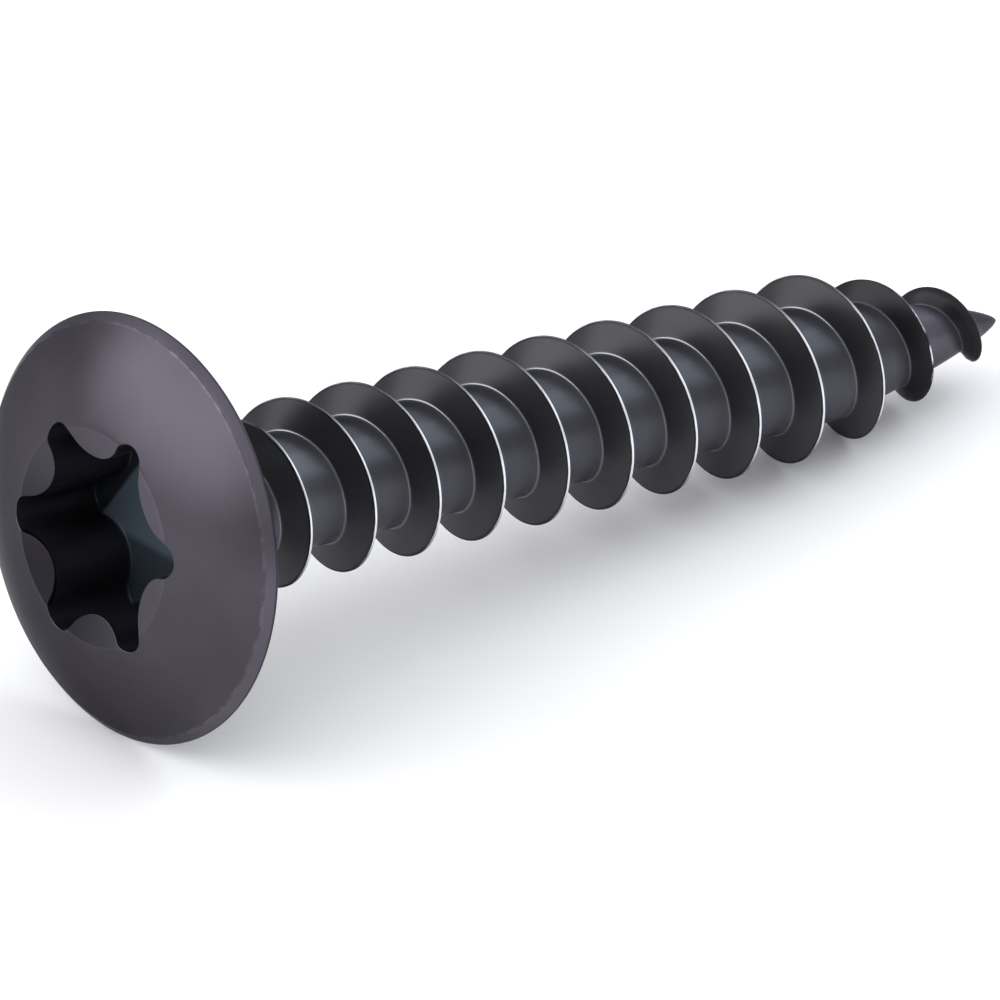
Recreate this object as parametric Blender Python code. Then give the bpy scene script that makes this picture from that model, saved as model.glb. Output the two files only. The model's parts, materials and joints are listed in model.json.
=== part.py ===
"""Furniture screw, 4 x 25 mm, lying on its side as it comes to rest on a table.

The screw is one piece of cold-formed steel with a black finish. A low domed head carries a
six-lobed socket. The socket is wider than the shank, so a short neck under the head gives it
its wall and floor. Below the neck a straight core carries a coarse right-hand thread that runs
out at a gimlet point.

The screw is drawn upright with the head's seat at z = 0 and the point at the bottom, and an
empty then lays it down. Every size is in metres.
"""

import math

import bmesh
import bpy
from mathutils import Matrix, Vector

# Thread
THREAD_DIAMETER = 0.00400
CORE_DIAMETER = 0.00266
THREAD_PITCH = 0.00183
CREST_LAND = 0.00009
FLANK_ANGLE = math.radians(40.0)
ROOT_FILLET = 0.00010
THREAD_TURN_AT_SEAT = math.radians(31.1)
THREAD_LIFT_AT_SEAT = 0.00081
RUN_IN_TURNS = 0.5
RUN_OUT_TURNS = 0.6

# Shank
SHANK_LENGTH = 0.02460
POINT_LENGTH = 0.00510
POINT_FULLNESS = 0.68
POINT_RIDGE_SHARE = 0.76
POINT_CREST_LAND = 0.00020
POINT_LEAD_TURNS = 0.3
THREAD_END_GAP = 0.00042

# Head
HEAD_DIAMETER = 0.00950
DOME_RADIUS = 0.00860
RIM_HEIGHT = 0.00010
RIM_BEVEL_WIDTH = 0.00028
RIM_BEVEL_HEIGHT = 0.00025

# Six-lobed socket
SOCKET_ACROSS_LOBES = 0.00520
SOCKET_ACROSS_FLUTES = 0.00350
SOCKET_LOBE_RADIUS = 0.00042
SOCKET_DEPTH = 0.00230
SOCKET_TURN = math.radians(39.1)
MOUTH_DIAMETER = 0.00482
MOUTH_FALL = 0.00015
LOBES = 6

# Neck that walls the socket
NECK_WALL = 0.00035
NECK_DRAFT = math.radians(14.0)
NECK_FLOOR = 0.00021
NECK_CONE_ANGLE = math.radians(52.0)

# Facets round a full turn, and how far the thread ridge is sunk into the core to join it
SEGMENTS = 40
RIDGE_SINK = 0.00005

CORE_RADIUS = CORE_DIAMETER / 2.0
RIDGE_HEIGHT = (THREAD_DIAMETER - CORE_DIAMETER) / 2.0
HEAD_RADIUS = HEAD_DIAMETER / 2.0
DOME_EDGE_RADIUS = HEAD_RADIUS - RIM_BEVEL_WIDTH
DOME_EDGE_HEIGHT = RIM_HEIGHT + RIM_BEVEL_HEIGHT
HALF_FACET = math.pi / SEGMENTS


def dome_height(radius):
    """Height of the head's dome over the seat at a radius."""
    edge_fall = math.sqrt(DOME_RADIUS**2 - DOME_EDGE_RADIUS**2)
    return DOME_EDGE_HEIGHT + math.sqrt(DOME_RADIUS**2 - radius**2) - edge_fall


MOUTH_HEIGHT = dome_height(MOUTH_DIAMETER / 2.0)
FLOOR_HEIGHT = MOUTH_HEIGHT - SOCKET_DEPTH
NECK_FOOT_RADIUS = SOCKET_ACROSS_LOBES / 2.0 + NECK_WALL
NECK_FOOT = FLOOR_HEIGHT - NECK_FLOOR
NECK_TOP_RADIUS = NECK_FOOT_RADIUS - NECK_FOOT * math.tan(NECK_DRAFT)
NECK_END = NECK_FOOT - (NECK_FOOT_RADIUS - CORE_RADIUS) / math.tan(NECK_CONE_ANGLE)
POINT_START = POINT_LENGTH - SHANK_LENGTH


def core_radius(height):
    """Radius of the bare core: straight, then drawn down to the gimlet point."""
    left = min(1.0, max(0.0, (height + SHANK_LENGTH) / POINT_LENGTH))
    return CORE_RADIUS * left**POINT_FULLNESS


def smooth_step(value):
    """Ease from 0 to 1 as the value goes from 0 to 1."""
    value = min(1.0, max(0.0, value))
    return value * value * (3.0 - 2.0 * value)


def thread_angle(height):
    """Angle of the thread's crest about the axis at a height, for a right-hand thread."""
    return THREAD_TURN_AT_SEAT + math.tau * (height + THREAD_LIFT_AT_SEAT) / THREAD_PITCH


def point_share(height):
    """How far the ridge has taken the lower, broader form that it has on the point."""
    return smooth_step((POINT_START - height) / THREAD_PITCH + POINT_LEAD_TURNS)


def ridge_share(height):
    """Share of the full ridge height that the thread has at a height."""
    run_in = RUN_IN_TURNS * THREAD_PITCH
    run_out = RUN_OUT_TURNS * THREAD_PITCH
    start = smooth_step((thread_top() - height) / run_in)
    end = smooth_step((height - thread_bottom()) / run_out)
    lowered = 1.0 - (1.0 - POINT_RIDGE_SHARE) * point_share(height)
    return max(0.02, start * end * lowered)


def thread_top():
    """Height at which the thread starts to rise out of the neck's cone."""
    return NECK_END + RUN_IN_TURNS * THREAD_PITCH / 2.0


def thread_bottom():
    """Height at which the thread has sunk back into the point."""
    return THREAD_END_GAP - SHANK_LENGTH


def blank_profile():
    """Outline of the turned blank from the top of the dome down to the tip."""
    outline = []
    dome_steps = 6
    dome_angle = math.asin(DOME_EDGE_RADIUS / DOME_RADIUS)
    for step in range(dome_steps + 1):
        radius = DOME_RADIUS * math.sin(dome_angle * step / dome_steps)
        outline.append((radius, dome_height(radius)))
    outline.append((HEAD_RADIUS, RIM_HEIGHT))
    outline.append((HEAD_RADIUS - RIM_HEIGHT, 0.0))
    outline.append((NECK_TOP_RADIUS, 0.0))
    outline.append((NECK_FOOT_RADIUS, NECK_FOOT))
    outline.append((CORE_RADIUS, NECK_END))
    point_steps = 12
    for step in range(point_steps + 1):
        along = math.sin(0.5 * math.pi * step / point_steps)
        height = POINT_START - POINT_LENGTH * along
        outline.append((core_radius(height), height))
    return outline


def add_object(name, mesh, parent, material):
    """Put a mesh in the scene under the screw's axis."""
    part = bpy.data.objects.new(name, mesh)
    bpy.context.collection.objects.link(part)
    part.parent = parent
    if material:
        mesh.materials.append(material)
    return part


def make_cutter(part):
    """Keep a tool body out of the model: it only shapes the screw."""
    part.hide_render = True
    part.display_type = "WIRE"
    return part


def mesh_from(bm, name):
    """Turn a bmesh into a mesh with its faces pointing out."""
    bmesh.ops.recalc_face_normals(bm, faces=bm.faces)
    mesh = bpy.data.meshes.new(name)
    bm.to_mesh(mesh)
    bm.free()
    return mesh


def blank_mesh():
    """Turn the blank, with a facet of the head flat to the table."""
    bm = bmesh.new()
    corners = []
    for radius, height in blank_profile():
        corners.append(bm.verts.new((radius, 0.0, height)))
    for first, second in zip(corners, corners[1:]):
        bm.edges.new((first, second))
    bmesh.ops.rotate(bm, verts=bm.verts, matrix=Matrix.Rotation(HALF_FACET, 3, "Z"))
    bmesh.ops.spin(
        bm,
        geom=list(bm.verts) + list(bm.edges),
        axis=(0.0, 0.0, 1.0),
        angle=math.tau,
        steps=SEGMENTS,
        use_merge=True,
    )
    bmesh.ops.remove_doubles(bm, verts=bm.verts, dist=1e-7)
    return mesh_from(bm, "screw")


def ridge_section():
    """Section of the thread ridge as offsets along the axis and heights over the core."""
    half_land = CREST_LAND / 2.0
    slope = math.tan(FLANK_ANGLE / 2.0)
    foot = half_land + RIDGE_HEIGHT * slope
    tangent = ROOT_FILLET * math.tan(math.pi / 4.0 - FLANK_ANGLE / 4.0)
    rise = tangent * math.cos(FLANK_ANGLE / 2.0)
    on_flank = foot - rise * slope
    on_core = foot + tangent
    sunk = on_core + (on_core - on_flank) * RIDGE_SINK / rise
    side = [(half_land, RIDGE_HEIGHT), (on_flank, rise), (sunk, -RIDGE_SINK)]
    return side + [(-offset, height) for offset, height in reversed(side)]


def draw_down(corner):
    """Give a corner of the swept ridge the height and breadth that the thread has there."""
    flat = Vector((corner.co.x, corner.co.y, 0.0))
    height = corner.co.z
    over_sink = flat.length - CORE_RADIUS + RIDGE_SINK
    if over_sink > RIDGE_HEIGHT / 2.0:
        turns = (thread_angle(height) - math.atan2(flat.y, flat.x)) / math.tau
        growth = (POINT_CREST_LAND - CREST_LAND) / 2.0 * point_share(height)
        height += math.copysign(growth, turns - round(turns))
    radius = core_radius(height) - RIDGE_SINK + over_sink * ridge_share(height)
    corner.co = flat.normalized() * radius + Vector((0.0, 0.0, height))


def ridge_mesh():
    """Sweep the thread's section down the helix, then draw its height down at both ends."""
    top = thread_top()
    turns = (top - thread_bottom()) / THREAD_PITCH
    steps = math.ceil(turns * SEGMENTS)
    start = HALF_FACET * round(thread_angle(top) / HALF_FACET)
    top += (start - thread_angle(top)) * THREAD_PITCH / math.tau
    bm = bmesh.new()
    corners = []
    for offset, height in ridge_section():
        radius = CORE_RADIUS + height
        corners.append(bm.verts.new((radius, 0.0, top + offset)))
    for first, second in zip(corners, corners[1:] + corners[:1]):
        bm.edges.new((first, second))
    bmesh.ops.rotate(bm, verts=bm.verts, matrix=Matrix.Rotation(start, 3, "Z"))
    bmesh.ops.spin(
        bm,
        geom=list(bm.verts) + list(bm.edges),
        axis=(0.0, 0.0, 1.0),
        dvec=(0.0, 0.0, -THREAD_PITCH / SEGMENTS),
        angle=-math.tau * steps / SEGMENTS,
        steps=steps,
    )
    bmesh.ops.holes_fill(bm, edges=bm.edges, sides=len(corners))
    for corner in bm.verts:
        draw_down(corner)
    return mesh_from(bm, "thread_ridge")


def socket_outline():
    """Six lobes of one radius joined by flute arcs that are tangent to them."""
    lobe_centre = SOCKET_ACROSS_LOBES / 2.0 - SOCKET_LOBE_RADIUS
    half_pitch = math.pi / LOBES
    root = SOCKET_ACROSS_FLUTES / 2.0
    reach = lobe_centre * math.cos(half_pitch)
    top = lobe_centre**2 + root**2 - 2.0 * root * reach - SOCKET_LOBE_RADIUS**2
    flute_radius = top / (2.0 * (SOCKET_LOBE_RADIUS - root + reach))
    flute_centre = root + flute_radius
    turn = math.atan2(flute_centre * math.sin(half_pitch), flute_centre * math.cos(half_pitch) - lobe_centre)
    sweep = turn - half_pitch
    outline = []
    steps = 4
    for lobe in range(LOBES):
        facing = SOCKET_TURN + 2.0 * half_pitch * lobe
        centre = Vector((math.cos(facing), math.sin(facing))) * lobe_centre
        for step in range(steps + 1):
            angle = facing + turn * (2.0 * step / steps - 1.0)
            outline.append(centre + Vector((math.cos(angle), math.sin(angle))) * SOCKET_LOBE_RADIUS)
        facing += half_pitch
        centre = Vector((math.cos(facing), math.sin(facing))) * flute_centre
        for step in range(1, steps):
            angle = facing + math.pi + sweep * (1.0 - 2.0 * step / steps)
            outline.append(centre + Vector((math.cos(angle), math.sin(angle))) * flute_radius)
    return outline


def socket_mesh():
    """Extrude the six-lobed outline from over the dome down to the socket's floor."""
    bm = bmesh.new()
    top = dome_height(0.0) + SOCKET_DEPTH
    corners = [bm.verts.new((point.x, point.y, top)) for point in socket_outline()]
    lid = bm.faces.new(corners)
    swept = bmesh.ops.extrude_face_region(bm, geom=[lid])
    moved = [item for item in swept["geom"] if isinstance(item, bmesh.types.BMVert)]
    bmesh.ops.translate(bm, verts=moved, vec=(0.0, 0.0, FLOOR_HEIGHT - top))
    return mesh_from(bm, "socket_tool")


def mouth_mesh():
    """Cone that opens the socket's mouth down to its flutes."""
    slope = (MOUTH_DIAMETER - SOCKET_ACROSS_FLUTES) / 2.0 / MOUTH_FALL
    low = MOUTH_HEIGHT - 1.6 * MOUTH_FALL
    high = dome_height(0.0) + MOUTH_FALL
    bm = bmesh.new()
    bmesh.ops.create_cone(
        bm,
        cap_ends=True,
        segments=SEGMENTS,
        radius1=MOUTH_DIAMETER / 2.0 + (low - MOUTH_HEIGHT) * slope,
        radius2=MOUTH_DIAMETER / 2.0 + (high - MOUTH_HEIGHT) * slope,
        depth=high - low,
    )
    bmesh.ops.rotate(bm, verts=bm.verts, matrix=Matrix.Rotation(HALF_FACET, 3, "Z"))
    bmesh.ops.translate(bm, verts=bm.verts, vec=(0.0, 0.0, (low + high) / 2.0))
    return mesh_from(bm, "mouth_tool")


def add_boolean(screw, tool, operation):
    """Join a tool body to the screw, or cut the screw with it."""
    cut = screw.modifiers.new(tool.name, "BOOLEAN")
    cut.operation = operation
    cut.object = tool
    cut.solver = "EXACT"


def black_finish():
    """Black passivated steel, satin and slightly violet."""
    material = bpy.data.materials.new("black_finish")
    material.use_nodes = True
    shader = material.node_tree.nodes["Principled BSDF"]
    shader.inputs["Base Color"].default_value = (0.050, 0.047, 0.056, 1.0)
    shader.inputs["Metallic"].default_value = 0.85
    shader.inputs["Roughness"].default_value = 0.38
    return material


def rest_tilt():
    """Slope of the axis when the head's rim and one crest near the point touch the table."""
    rim = HEAD_RADIUS * math.cos(HALF_FACET)
    steepest = math.inf
    steps = math.ceil((thread_top() - thread_bottom()) / THREAD_PITCH * SEGMENTS)
    for step in range(steps):
        height = thread_top() - step * THREAD_PITCH / SEGMENTS
        reach = core_radius(height) - RIDGE_SINK + (RIDGE_HEIGHT + RIDGE_SINK) * ridge_share(height)
        down = -reach * math.cos(thread_angle(height))
        steepest = min(steepest, (rim - down) / (RIM_HEIGHT - height))
    return math.atan(steepest)


def world_bounds(part):
    """Lowest and highest corner of a part as it is evaluated."""
    bpy.context.view_layer.update()
    graph = bpy.context.evaluated_depsgraph_get()
    shown = part.evaluated_get(graph)
    places = [part.matrix_world @ corner.co for corner in shown.data.vertices]
    low = Vector([min(place[side] for place in places) for side in range(3)])
    high = Vector([max(place[side] for place in places) for side in range(3)])
    return low, high


def lay_down(axis, screw):
    """Tip the screw onto its side with its point towards +X, centred over the origin."""
    axis.rotation_euler = (0.0, rest_tilt() - math.pi / 2.0, 0.0)
    low, high = world_bounds(screw)
    axis.location = -Vector(((low.x + high.x) / 2.0, (low.y + high.y) / 2.0, low.z))


def build():
    """Model the screw and lay it on its side."""
    for old in list(bpy.data.objects):
        bpy.data.objects.remove(old, do_unlink=True)
    axis = bpy.data.objects.new("screw_axis", None)
    bpy.context.collection.objects.link(axis)
    screw = add_object("furniture_screw", blank_mesh(), axis, black_finish())
    ridge = make_cutter(add_object("thread_ridge", ridge_mesh(), axis, None))
    socket = make_cutter(add_object("socket_tool", socket_mesh(), axis, None))
    mouth = make_cutter(add_object("mouth_tool", mouth_mesh(), axis, None))
    add_boolean(screw, ridge, "UNION")
    add_boolean(screw, socket, "DIFFERENCE")
    add_boolean(screw, mouth, "DIFFERENCE")
    screw.data.shade_smooth()
    screw.data.set_sharp_from_angle(angle=math.radians(30.0))
    lay_down(axis, screw)


build()
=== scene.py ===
"""Furniture screw lying on a pale table, seen from above its head.

The screw is modelled upright at its real size, with the head's seat at z = 0 and the point
at the bottom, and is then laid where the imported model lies. Sizes are in metres.
"""

from __future__ import annotations

import json
import logging
import math
from dataclasses import dataclass, field
from enum import Enum
from functools import reduce
from typing import Callable, Iterable, Sequence

import bmesh
import bpy
from mathutils import Matrix, Vector

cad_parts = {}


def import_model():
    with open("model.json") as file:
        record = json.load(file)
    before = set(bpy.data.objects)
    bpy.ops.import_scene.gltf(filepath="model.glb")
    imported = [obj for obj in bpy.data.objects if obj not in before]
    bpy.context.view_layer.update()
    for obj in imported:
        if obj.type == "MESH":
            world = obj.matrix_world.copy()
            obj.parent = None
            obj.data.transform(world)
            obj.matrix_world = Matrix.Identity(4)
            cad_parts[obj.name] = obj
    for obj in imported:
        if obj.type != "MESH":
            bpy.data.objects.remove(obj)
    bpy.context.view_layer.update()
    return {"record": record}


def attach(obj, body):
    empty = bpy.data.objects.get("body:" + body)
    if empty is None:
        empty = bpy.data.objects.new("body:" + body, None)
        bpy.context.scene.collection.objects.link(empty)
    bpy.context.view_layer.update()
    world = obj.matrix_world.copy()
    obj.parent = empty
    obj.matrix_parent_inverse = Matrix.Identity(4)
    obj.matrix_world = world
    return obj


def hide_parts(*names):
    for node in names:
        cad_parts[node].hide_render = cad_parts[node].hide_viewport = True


LOG = logging.getLogger("furniture_screw")
MM = 0.001
NODE = "furniture_screw"
SLOT = "black_finish"
RUB = "crest_rub"
RISE = "thread_rise"
WELD_REACH = 1e-7
CUT_REACH = 1e-8

Point2 = tuple[float, float]
Colour = tuple[float, float, float]
Span = tuple[float, float, float, float]
Value = bpy.types.NodeSocket


class Hand(Enum):
    """The way a thread winds."""

    RIGHT = 1.0
    LEFT = -1.0


def smooth_step(value: float) -> float:
    """Ease from 0 to 1 as the value goes from 0 to 1.

    Args:
        value: How far the change has come; it is held between 0 and 1.

    Returns:
        The eased share.
    """
    value = min(1.0, max(0.0, value))
    return value * value * (3.0 - 2.0 * value)


def blend_low(first: float, second: float, width: float) -> float:
    """Take the lower of two heights, with the corner between them rounded.

    Args:
        first: One height.
        second: The other height.
        width: Difference in height under which the corner is rounded.

    Returns:
        The rounded minimum.
    """
    near = max(width - abs(first - second), 0.0)
    return min(first, second) - near * near / (4.0 * width)


def blend_high(first: float, second: float, width: float) -> float:
    """Take the higher of two heights, with the corner between them rounded."""
    return -blend_low(-first, -second, width)


def spread(marks: Sequence[float], counts: Sequence[int]) -> list[float]:
    """Share out stations between marks.

    Args:
        marks: Places in rising or falling order.
        counts: How many steps there are between each pair of marks.

    Returns:
        Every station, with the marks themselves among them.
    """
    stations = [marks[0]]
    for start, end, count in zip(marks, marks[1:], counts):
        for step in range(1, count + 1):
            stations.append(start + (end - start) * step / count)
    return stations


def round_corner(before: Point2, corner: Point2, after: Point2, radius: float, steps: int) -> list[Point2]:
    """Replace a corner of an outline by an arc that is tangent to both of its sides.

    Args:
        before: The outline's point before the corner.
        corner: The sharp corner.
        after: The outline's point after the corner.
        radius: Radius of the arc.
        steps: Number of steps along the arc.

    Returns:
        The points of the arc.
    """
    at = Vector(corner)
    back = (Vector(before) - at).normalized()
    ahead = (Vector(after) - at).normalized()
    half = back.angle(ahead) / 2.0
    centre = at + (back + ahead).normalized() * radius / math.sin(half)
    start = at + back * radius / math.tan(half) - centre
    end = at + ahead * radius / math.tan(half) - centre
    turn = start.angle_signed(end)
    points = []
    for step in range(steps + 1):
        spoke = Matrix.Rotation(-turn * step / steps, 2) @ start
        points.append(tuple(centre + spoke))
    return points


@dataclass(frozen=True)
class ScrewAxis:
    """Where the screw lies: the centre of the head's seat, and the way from point to head."""

    seat: Vector
    up: Vector

    @classmethod
    def from_mounts(cls, mounts: Iterable[dict]) -> "ScrewAxis":
        """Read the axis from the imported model's two flat faces.

        Args:
            mounts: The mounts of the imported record.

        Returns:
            The axis, with the seat's centre on it.
        """
        named = {mount["name"]: mount for mount in mounts}
        down = Vector(named["head_seat"]["axis"]).normalized()
        floor = Vector(named["socket_floor"]["pos_m"])
        rise = (Vector(named["head_seat"]["pos_m"]) - floor).dot(down)
        return cls(seat=floor + down * rise, up=-down)

    def matrix(self) -> Matrix:
        """Work out how the upright screw is laid down.

        Returns:
            The matrix that lays it.
        """
        side = Vector((0.0, 1.0, 0.0))
        across = side.cross(self.up).normalized()
        turn = Matrix((across, side, self.up)).transposed()
        return Matrix.Translation(self.seat) @ turn.to_4x4()


class Bench:
    """The modelling steps that both halves of the screw share."""

    @staticmethod
    def clear_selection() -> None:
        """Leave edit mode and select nothing."""
        if bpy.context.object and bpy.context.object.mode != "OBJECT":
            bpy.ops.object.mode_set(mode="OBJECT")
        bpy.ops.object.select_all(action="DESELECT")

    @staticmethod
    def pick(piece: bpy.types.Object) -> None:
        """Select one piece and make it the active one.

        Args:
            piece: The piece.
        """
        Bench.clear_selection()
        piece.select_set(True)
        bpy.context.view_layer.objects.active = piece

    @staticmethod
    def start_point(name: str, place: Vector) -> bpy.types.Object:
        """Start a drawn line as one point, made by closing a small plane up.

        Args:
            name: Name of the piece.
            place: Where the line starts.

        Returns:
            The piece, in edit mode with its point selected.
        """
        Bench.clear_selection()
        bpy.ops.mesh.primitive_plane_add(size=MM, location=place, enter_editmode=True)
        piece = bpy.context.object
        piece.name = name
        bpy.ops.mesh.select_all(action="SELECT")
        bpy.ops.mesh.merge(type="CENTER")
        return piece

    @staticmethod
    def draw_to(step: Vector) -> None:
        """Extrude the selected points by one step."""
        bpy.ops.mesh.extrude_region_move(TRANSFORM_OT_translate={"value": tuple(step)})

    @staticmethod
    def next_ring(piece: bpy.types.Object, place: Callable[[int, Vector], Vector]) -> None:
        """Extrude the selected ring and put the new ring in its place.

        Args:
            piece: The piece in edit mode, with one ring selected.
            place: Gives each point's place from its number round the ring and its old place.
        """
        bpy.ops.mesh.extrude_region_move()
        Bench.place_ring(piece, place)

    @staticmethod
    def place_ring(piece: bpy.types.Object, place: Callable[[int, Vector], Vector]) -> None:
        """Move the points of the selected ring, counted by their angle about the axis.

        Args:
            piece: The piece in edit mode, with one ring selected.
            place: Gives each point's place from its number round the ring and its old place.
        """
        mesh = bmesh.from_edit_mesh(piece.data)
        ring = [corner for corner in mesh.verts if corner.select]
        ring.sort(key=lambda corner: Socket.angle_from_first_lobe(corner.co))
        for number, corner in enumerate(ring):
            corner.co = place(number, corner.co)
        bmesh.update_edit_mesh(piece.data)


@dataclass(frozen=True)
class Thread:
    """Coarse right-hand thread with a narrow flat crest, rounder and lower on the point."""

    crest_radius: float = 2.00 * MM
    core_radius: float = 1.31 * MM
    pitch: float = 1.83 * MM
    crest_land: float = 0.045 * MM
    crest_round: float = 0.022 * MM
    flank_angle: float = math.radians(45.0)
    crest_blend: float = 0.5
    root_blend: float = 0.05 * MM
    hand: Hand = Hand.RIGHT
    angle_at_seat: float = math.radians(31.1)
    lift_at_seat: float = 0.81 * MM
    run_in_turns: float = 0.5
    run_out_turns: float = 0.42
    end_gap: float = 0.42 * MM
    point_height_share: float = 0.76
    point_lead_turns: float = 0.3
    worm_half_width: float = 0.29 * MM
    worm_height: float = 0.42 * MM
    worm_start: float = -21.0 * MM
    worm_length: float = 1.4 * MM
    worm_fullness: float = 1.5
    rub_start: float = -2.8 * MM
    rub_start_fade: float = 0.1 * MM
    rub_thins: float = -19.9 * MM
    rub_thins_fade: float = 0.3 * MM
    rub_thins_by: float = 0.22
    rub_end: float = -21.9 * MM
    rub_end_fade: float = 0.4 * MM
    edge_share: float = 0.4
    root_share: float = 0.45
    steps_between: tuple[int, ...] = (1, 3, 1, 3, 7, 4)

    @property
    def ridge_height(self) -> float:
        """Full height of the ridge over the core."""
        return self.crest_radius - self.core_radius

    @property
    def slope(self) -> float:
        """Run of a flank along the axis for each unit of its height."""
        return math.tan(self.flank_angle / 2.0)

    @property
    def foot(self) -> float:
        """Distance along the axis from the crest's middle to a flank's foot."""
        return self.crest_land / 2.0 + self.ridge_height * self.slope

    def crest_at(self, angle: float) -> float:
        """Return the height of one crest at an angle about the axis."""
        turns = (angle - self.angle_at_seat) / math.tau * self.hand.value
        return self.pitch * turns - self.lift_at_seat

    def offset_from_crest(self, height: float, angle: float) -> float:
        """Return the distance along the axis from a place to the nearest crest."""
        turns = (height - self.crest_at(angle)) / self.pitch
        return self.pitch * (turns - round(turns))

    def rub(self, height: float, angle: float) -> float:
        """Return how far the finish is rubbed off at a place on the thread.

        Args:
            height: Height over the seat.
            angle: Angle about the axis.

        Returns:
            1 on the crest of the full thread, thinning out towards the point and 0 off the crest.
        """
        past_land = abs(self.offset_from_crest(height, angle)) - self.crest_land / 2.0
        on_crest = 1.0 - smooth_step(past_land / self.crest_round)
        begun = smooth_step((self.rub_start - height) / self.rub_start_fade)
        thinned = 1.0 - self.rub_thins_by * smooth_step((self.rub_thins - height) / self.rub_thins_fade)
        ended = 1.0 - smooth_step((self.rub_end + self.rub_end_fade - height) / self.rub_end_fade)
        return on_crest * begun * thinned * ended

    def stations(self) -> list[float]:
        """Share out the lines of one turn of the surface, close together round its edges.

        Returns:
            How far each line stands from the crest's middle along the axis.
        """
        half_land = self.crest_land / 2.0
        edge = self.edge_share * self.crest_round
        blend = self.root_share * self.root_blend
        edges = [half_land - edge, half_land + edge, half_land + 2.0 * self.crest_round]
        marks = [0.0, *edges, self.foot - blend, self.foot + blend, self.pitch / 2.0]
        half = spread(marks, self.steps_between)
        return [-offset for offset in reversed(half[1:])] + half


@dataclass(frozen=True)
class Blank:
    """The screw's body before its thread: rim, seat, neck, core and gimlet point."""

    head_radius: float = 4.75 * MM
    dome_radius: float = 8.60 * MM
    rim_height: float = 0.10 * MM
    rim_bevel_width: float = 0.20 * MM
    rim_bevel_height: float = 0.20 * MM
    neck_foot_radius: float = 2.95 * MM
    neck_draft: float = math.radians(14.0)
    neck_floor: float = 0.21 * MM
    neck_cone_angle: float = math.radians(52.0)
    neck_blend: float = 0.20 * MM
    shank_length: float = 24.60 * MM
    point_length: float = 5.10 * MM
    point_fullness: float = 0.68
    edge_round: float = 0.05 * MM
    corner_round: float = 0.12 * MM
    seat_round: float = 0.03 * MM

    @property
    def dome_edge(self) -> Point2:
        """Radius and height at which the dome meets the rim's bevel."""
        return self.head_radius - self.rim_bevel_width, self.rim_height + self.rim_bevel_height

    def dome_height(self, radius: float) -> float:
        """Work out the height of the dome over the seat.

        Args:
            radius: Distance from the axis.

        Returns:
            The height.
        """
        edge_radius, edge_height = self.dome_edge
        fall = math.sqrt(self.dome_radius**2 - edge_radius**2)
        return edge_height + math.sqrt(self.dome_radius**2 - radius**2) - fall

    def core_radius(self, height: float, straight: float) -> float:
        """Return the radius of the bare core at a height.

        Args:
            height: Height over the seat, which is below zero on the shank.
            straight: Radius of the core's straight part.

        Returns:
            The radius, drawn down to nothing at the tip.
        """
        left = min(1.0, max(0.0, (height + self.shank_length) / self.point_length))
        return straight * left**self.point_fullness


@dataclass(frozen=True)
class Socket:
    """Six-lobed drive socket with a conical mouth and a flat floor."""

    across_lobes: float = 5.20 * MM
    across_flutes: float = 3.50 * MM
    lobe_radius: float = 0.42 * MM
    depth: float = 2.30 * MM
    turn: float = math.radians(39.1)
    mouth_radius: float = 2.41 * MM
    mouth_fall: float = 0.15 * MM
    mouth_blend: float = 0.03 * MM
    edge_round: float = 0.022 * MM
    floor_round: float = 0.05 * MM
    first_lobe_margin: float = 0.001
    lobes: int = 6
    lobe_steps: int = 20
    flute_steps: int = 28

    @property
    def lobe_centre(self) -> float:
        """Distance from the axis to the centre of a lobe's arc."""
        return self.across_lobes / 2.0 - self.lobe_radius

    @property
    def flute_radius(self) -> float:
        """Radius of the arcs between the lobes, which are tangent to them.

        Returns:
            The radius.
        """
        root = self.across_flutes / 2.0
        reach = self.lobe_centre * math.cos(math.pi / self.lobes)
        top = self.lobe_centre**2 + root**2 - 2.0 * root * reach - self.lobe_radius**2
        return top / (2.0 * (self.lobe_radius - root + reach))

    @property
    def flute_centre(self) -> float:
        """Distance from the axis to the centre of a flute's arc."""
        return self.across_flutes / 2.0 + self.flute_radius

    @property
    def count(self) -> int:
        """Number of points round the outline."""
        return self.lobes * (self.lobe_steps + self.flute_steps)

    def outline(self, growth: float) -> list[Vector]:
        """Return the outline, grown outwards by an amount, from the middle of the first lobe.

        Args:
            growth: How far each point is moved out, square to the outline.

        Returns:
            One point for each station round the socket.
        """
        half = math.pi / self.lobes
        centre = self.flute_centre
        turn = math.atan2(centre * math.sin(half), centre * math.cos(half) - self.lobe_centre)
        sweep = turn - half
        points = []
        for lobe in range(self.lobes):
            facing = self.turn + 2.0 * half * lobe
            middle = Vector((math.cos(facing), math.sin(facing))) * self.lobe_centre
            for step in range(self.lobe_steps):
                angle = facing + turn * (2.0 * step / self.lobe_steps - 1.0)
                arm = self.lobe_radius + growth
                points.append(middle + Vector((math.cos(angle), math.sin(angle))) * arm)
            facing += half
            middle = Vector((math.cos(facing), math.sin(facing))) * centre
            for step in range(self.flute_steps):
                angle = facing + math.pi + sweep * (1.0 - 2.0 * step / self.flute_steps)
                arm = self.flute_radius - growth
                points.append(middle + Vector((math.cos(angle), math.sin(angle))) * arm)
        first = self.lobe_steps // 2
        return points[first:] + points[:first]

    @staticmethod
    def angle_from_first_lobe(place: Vector) -> float:
        """Return the angle of a place about the axis, counted from the middle of the first lobe."""
        angle = math.atan2(place.y, place.x) - Socket.turn
        return (angle + Socket.first_lobe_margin) % math.tau


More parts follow.
